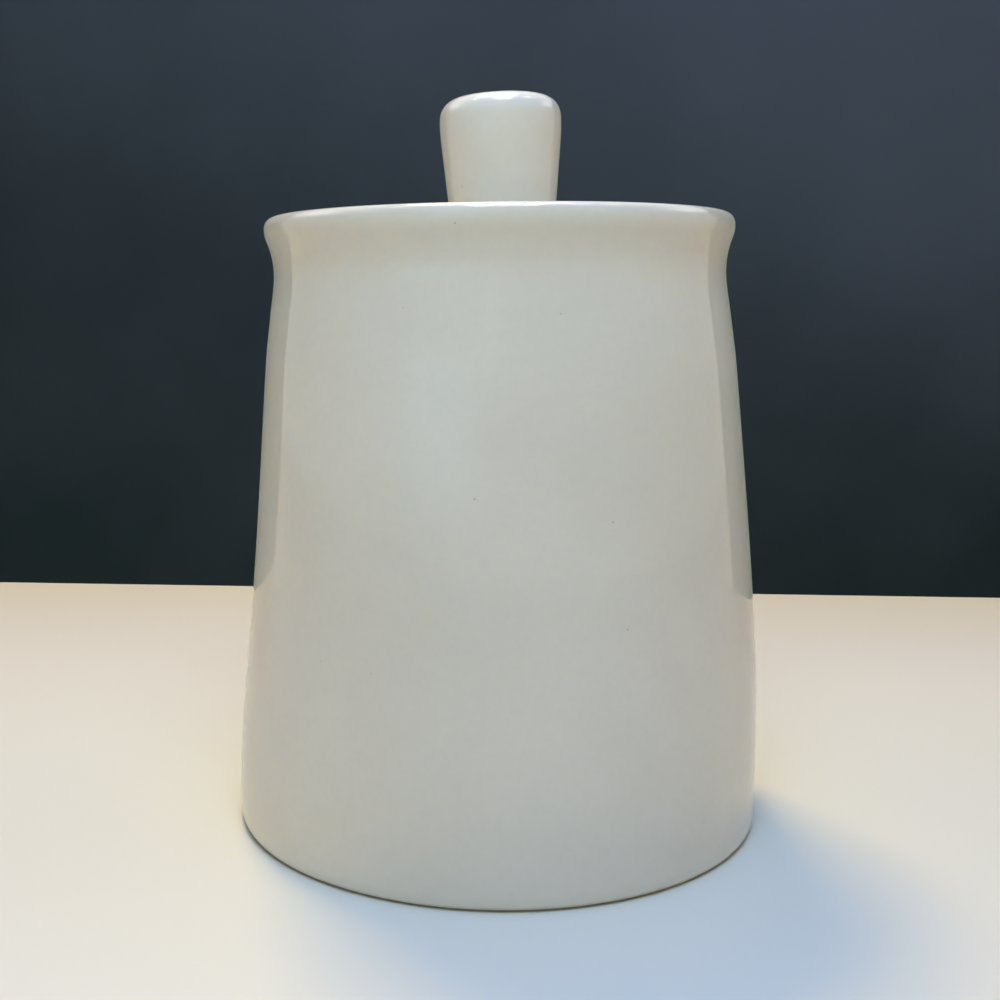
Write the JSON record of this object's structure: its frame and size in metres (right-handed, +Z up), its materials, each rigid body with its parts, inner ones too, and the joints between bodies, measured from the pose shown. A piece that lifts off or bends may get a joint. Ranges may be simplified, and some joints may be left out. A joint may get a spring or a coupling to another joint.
{
  "type": "kitchen canister",
  "caption": "Tapered glazed stoneware kitchen canister with a rolled lip, a low drop-in lid with a finned seal ring, and a hollow knob that widens to the top.",
  "frame": {"origin": "centre of the foot ring, on the surface that the jar stands on", "axes": "+Z up along the jar's axis; the jar is round, so X and Y are free"},
  "size_m": [0.152, 0.152, 0.206],
  "materials": {
    "jar_glaze": "glossy off-white glaze, bare clay on the foot ring",
    "lid_glaze": "glossy off-white glaze, bare clay where the flange sits",
    "knob_glaze": "glossy off-white glaze",
    "seal_silicone": "milky silicone, satin"
  },
  "bodies": {
    "jar": {"jar_body": "jar_glaze"},
    "lid": {"lid": "lid_glaze", "lid_knob": "knob_glaze", "seal_ring": "seal_silicone"}
  },
  "joints": [
    {"name": "lid_lift", "type": "slide", "parent": "jar", "child": "lid", "axis": [0, 0, 1], "range_m": [0, 0.16]}
  ]
}
